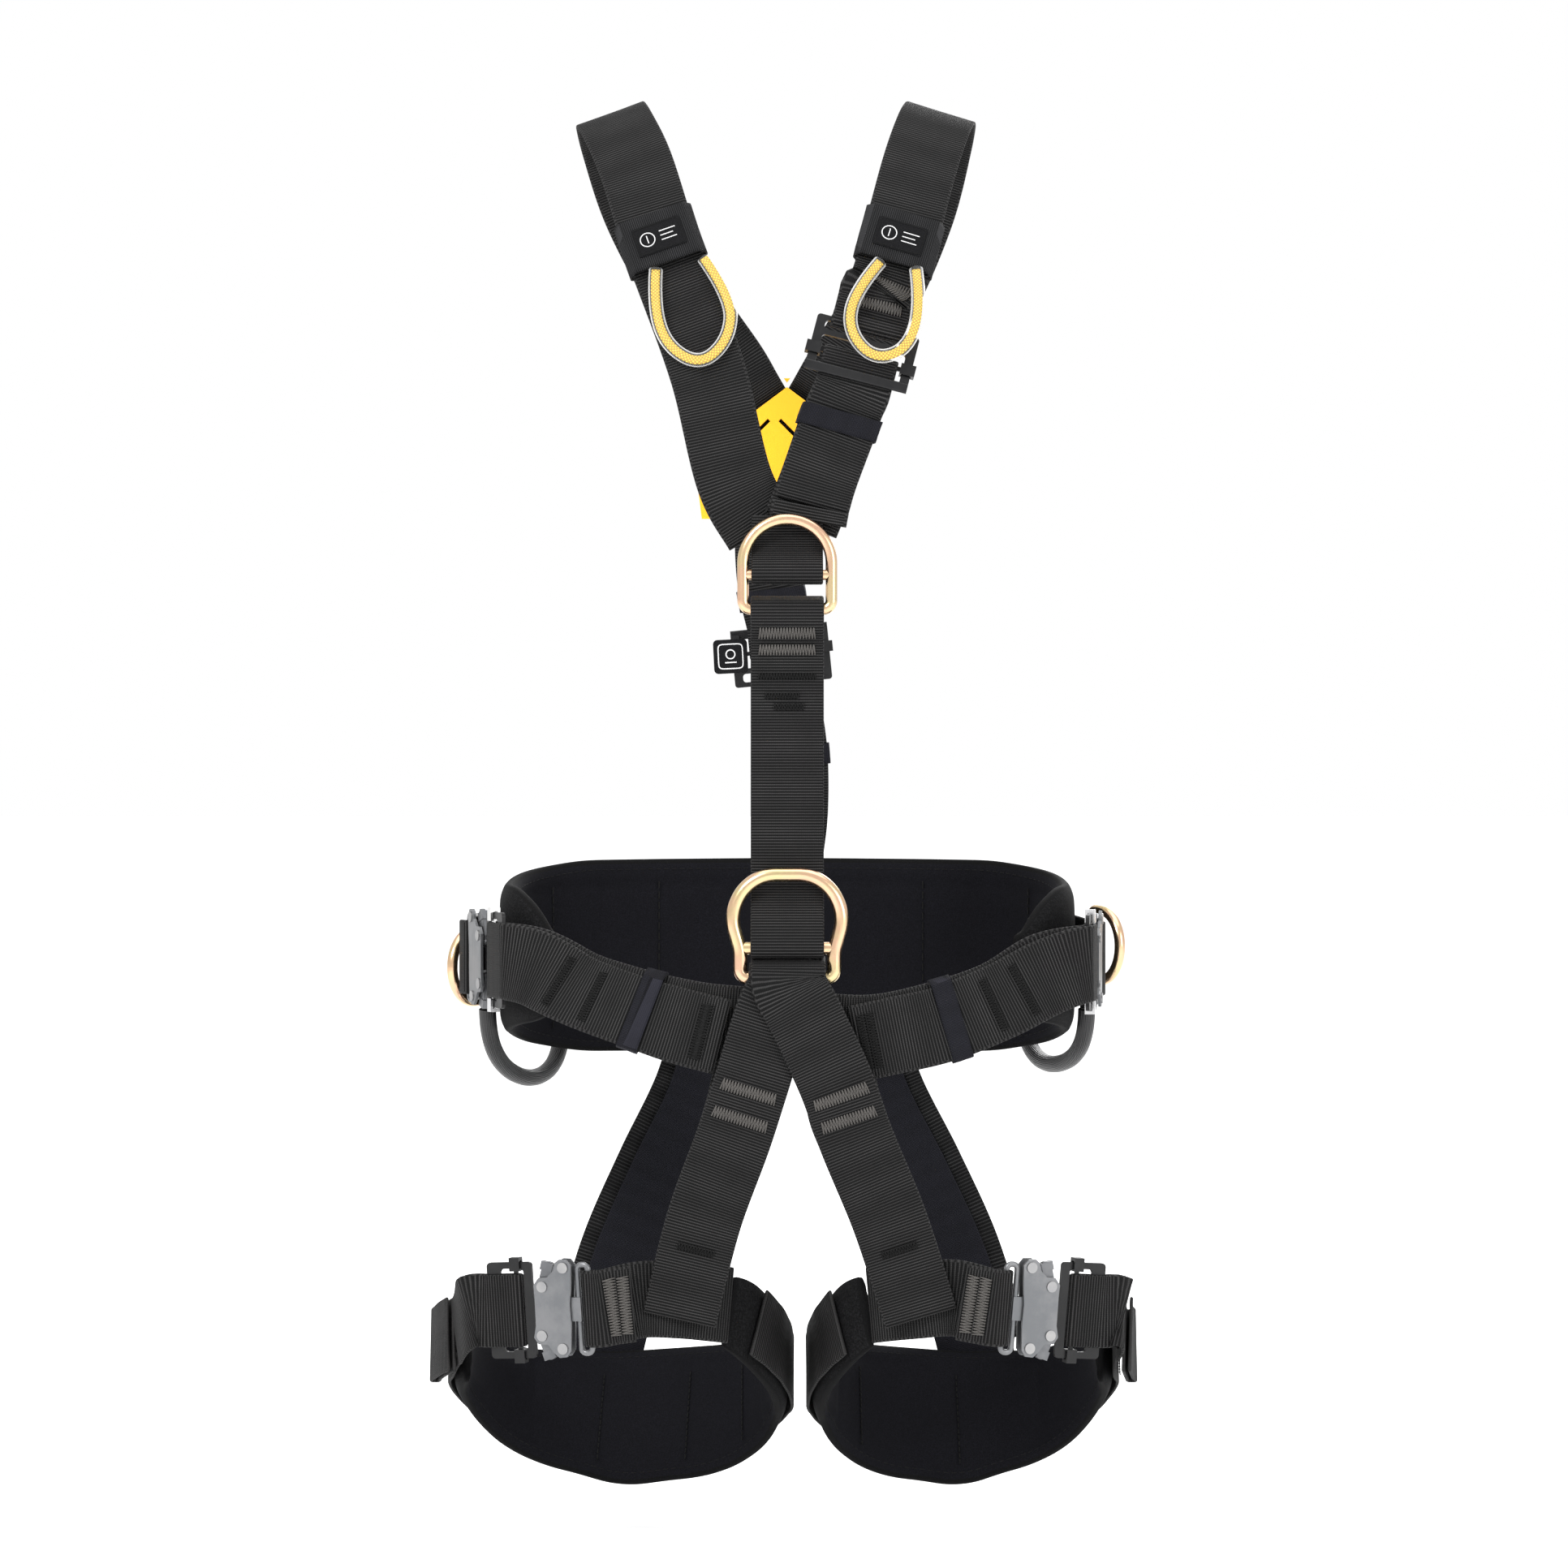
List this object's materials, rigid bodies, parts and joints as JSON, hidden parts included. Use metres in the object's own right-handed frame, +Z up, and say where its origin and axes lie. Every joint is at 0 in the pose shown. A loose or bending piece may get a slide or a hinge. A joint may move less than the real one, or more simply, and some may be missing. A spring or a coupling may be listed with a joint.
{
  "type": "full body tree climbing harness",
  "caption": "Full-body tree climbing harness with a padded waist belt, padded leg loops, shoulder straps, quick-release buckles, steel attachment rings and gear loops.",
  "frame": {"origin": "middle of the wearer's waist, in the middle of the space inside the belt", "axes": "+X to the right when the harness is seen from the front, -Y towards the front of the wearer, +Z up"},
  "size_m": [0.428, 0.2601, 0.8582],
  "materials": {
    "webbing": "black ribbed polyester webbing",
    "pad_lining": "charcoal knit lining on foam",
    "ring_steel": "polished steel with yellow zinc plating",
    "yellow_plastic": "smooth yellow moulded plastic",
    "label": "dark woven label with a white ring pictogram",
    "buckle_plate": "satin grey anodised plate",
    "rivet_steel": "bright steel rivet",
    "lever_grey": "satin grey anodised lever",
    "black_steel": "black coated steel",
    "bar_steel": "bright steel bar",
    "elastic": "dark navy woven elastic",
    "elastic_webbing": "black elastic band and gathered webbing",
    "gear_tube": "black ribbed tube",
    "parking_tube": "clear tube over yellow cord",
    "sleeve_weave": "dark grey woven sleeve"
  },
  "bodies": {
    "harness": {"attachment_label": "label", "belt_pad": "pad_lining", "belt_webbing": "webbing", "buckle_rivets": "rivet_steel", "chest_strap": "webbing", "dorsal_plate": "yellow_plastic", "elastic_keepers": "elastic", "gear_loop_left": "gear_tube", "gear_loop_right": "gear_tube", "gear_loop_tabs": "webbing", "leg_front_tabs": "webbing", "leg_left_buckle": "buckle_plate", "leg_left_tongue": "black_steel", "leg_pad_left": "pad_lining", "leg_pad_right": "pad_lining", "leg_pad_webbing": "webbing", "leg_right_buckle": "buckle_plate", "leg_right_tongue": "black_steel", "leg_riser_left": "webbing", "leg_riser_right": "webbing", "leg_tail_left": "webbing", "leg_tail_right": "webbing", "parking_loop_left": "parking_tube", "parking_loop_right": "parking_tube", "parking_sleeves": "sleeve_weave", "rear_riser_left": "elastic_webbing", "rear_riser_right": "elastic_webbing", "shoulder_adjuster_frame": "black_steel", "shoulder_strap_left": "webbing", "shoulder_strap_lower": "webbing", "shoulder_strap_right": "webbing", "side_ring_loops": "webbing", "spine_adjuster_frame": "black_steel", "spine_strap": "webbing", "sternal_loop": "webbing", "waist_left_buckle": "buckle_plate", "waist_left_tongue": "black_steel", "waist_right_buckle": "buckle_plate", "waist_right_tongue": "black_steel", "waist_strap": "webbing"},
    "sternal_ring": {"sternal_ring": "ring_steel"},
    "ventral_ring": {"ventral_ring": "ring_steel"},
    "dorsal_ring": {"dorsal_ring": "ring_steel"},
    "side_ring_left": {"side_ring_left": "ring_steel"},
    "side_ring_right": {"side_ring_right": "ring_steel"},
    "leg_left_lever_upper": {"leg_left_lever_upper": "lever_grey"},
    "leg_left_lever_lower": {"leg_left_lever_lower": "lever_grey"},
    "leg_left_bar": {"leg_left_bar": "bar_steel"},
    "leg_right_lever_upper": {"leg_right_lever_upper": "lever_grey"},
    "leg_right_lever_lower": {"leg_right_lever_lower": "lever_grey"},
    "leg_right_bar": {"leg_right_bar": "bar_steel"},
    "waist_left_lever_upper": {"waist_left_lever_upper": "lever_grey"},
    "waist_left_lever_lower": {"waist_left_lever_lower": "lever_grey"},
    "waist_left_bar": {"waist_left_bar": "bar_steel"},
    "waist_right_lever_upper": {"waist_right_lever_upper": "lever_grey"},
    "waist_right_lever_lower": {"waist_right_lever_lower": "lever_grey"},
    "waist_right_bar": {"waist_right_bar": "bar_steel"},
    "shoulder_adjuster_bar": {"shoulder_adjuster_bar": "bar_steel"},
    "spine_adjuster_bar": {"spine_adjuster_bar": "bar_steel"}
  },
  "joints": [
    {"name": "sternal_ring_hinge", "type": "hinge", "parent": "harness", "child": "sternal_ring", "pos_m": [0, -0.117, 0.2315], "axis": [1, 0, 0], "range_deg": [0, 25]},
    {"name": "ventral_ring_hinge", "type": "hinge", "parent": "harness", "child": "ventral_ring", "pos_m": [0, -0.12, 0.0128], "axis": [1, 0, 0], "range_deg": [0, 24]},
    {"name": "dorsal_ring_hinge", "type": "hinge", "parent": "harness", "child": "dorsal_ring", "pos_m": [0, 0.1062, 0.322], "axis": [1, 0, 0], "range_deg": [0, 150]},
    {"name": "side_ring_left_hinge", "type": "hinge", "parent": "harness", "child": "side_ring_left", "pos_m": [-0.1876, 0.016, -0.003], "axis": [0, 0, 1], "range_deg": [-115, 5]},
    {"name": "side_ring_right_hinge", "type": "hinge", "parent": "harness", "child": "side_ring_right", "pos_m": [0.1876, 0.014, 0.01], "axis": [0, 0, 1], "range_deg": [-5, 115]},
    {"name": "leg_left_lever_upper_hinge", "type": "hinge", "parent": "harness", "child": "leg_left_lever_upper", "pos_m": [-0.14311, -0.10207, -0.18697], "axis": [0.3288, 0.944, 0.0263], "range_deg": [0, 11], "stiffness_Nm_per_rad": 0.02},
    {"name": "leg_left_lever_lower_hinge", "type": "hinge", "parent": "harness", "child": "leg_left_lever_lower", "pos_m": [-0.14292, -0.10133, -0.21591], "axis": [-0.3288, -0.944, -0.0263], "range_deg": [0, 11], "stiffness_Nm_per_rad": 0.02},
    {"name": "leg_left_bar_slide", "type": "slide", "parent": "harness", "child": "leg_left_bar", "axis": [-0.9423, 0.3298, -0.0565], "range_m": [0, 0.003]},
    {"name": "leg_right_lever_upper_hinge", "type": "hinge", "parent": "harness", "child": "leg_right_lever_upper", "pos_m": [0.15429, -0.10034, -0.1871], "axis": [0.3686, -0.9289, -0.0369], "range_deg": [0, 11], "stiffness_Nm_per_rad": 0.02},
    {"name": "leg_right_lever_lower_hinge", "type": "hinge", "parent": "harness", "child": "leg_right_lever_lower", "pos_m": [0.15349, -0.09951, -0.21603], "axis": [-0.3686, 0.9289, 0.0369], "range_deg": [0, 11], "stiffness_Nm_per_rad": 0.02},
    {"name": "leg_right_bar_slide", "type": "slide", "parent": "harness", "child": "leg_right_bar", "axis": [0.9259, 0.3704, -0.0741], "range_m": [0, 0.003]},
    {"name": "waist_left_lever_upper_hinge", "type": "hinge", "parent": "harness", "child": "waist_left_lever_upper", "pos_m": [-0.18217, -0.04864, 0.0179], "axis": [-0.9243, -0.3818, 0], "range_deg": [0, 11], "stiffness_Nm_per_rad": 0.02},
    {"name": "waist_left_lever_lower_hinge", "type": "hinge", "parent": "harness", "child": "waist_left_lever_lower", "pos_m": [-0.18152, -0.05021, -0.011], "axis": [0.9243, 0.3818, 0], "range_deg": [0, 11], "stiffness_Nm_per_rad": 0.02},
    {"name": "waist_left_bar_slide", "type": "slide", "parent": "harness", "child": "waist_left_bar", "axis": [0.3818, -0.9243, 0], "range_m": [0, 0.003]},
    {"name": "waist_right_lever_upper_hinge", "type": "hinge", "parent": "harness", "child": "waist_right_lever_upper", "pos_m": [0.18352, -0.05602, 0.0169], "axis": [-0.9869, 0.1611, 0], "range_deg": [0, 11], "stiffness_Nm_per_rad": 0.02},
    {"name": "waist_right_lever_lower_hinge", "type": "hinge", "parent": "harness", "child": "waist_right_lever_lower", "pos_m": [0.18324, -0.0577, -0.012], "axis": [0.9869, -0.1611, 0], "range_deg": [0, 11], "stiffness_Nm_per_rad": 0.02},
    {"name": "waist_right_bar_slide", "type": "slide", "parent": "harness", "child": "waist_right_bar", "axis": [-0.1611, -0.9869, 0], "range_m": [0, 0.003]},
    {"name": "shoulder_adjuster_bar_slide", "type": "slide", "parent": "harness", "child": "shoulder_adjuster_bar", "axis": [-0.2447, -0.1958, -0.9496], "range_m": [0, 0.003]},
    {"name": "spine_adjuster_bar_slide", "type": "slide", "parent": "harness", "child": "spine_adjuster_bar", "axis": [-0.0995, -0.0199, 0.9948], "range_m": [0, 0.003]}
  ]
}
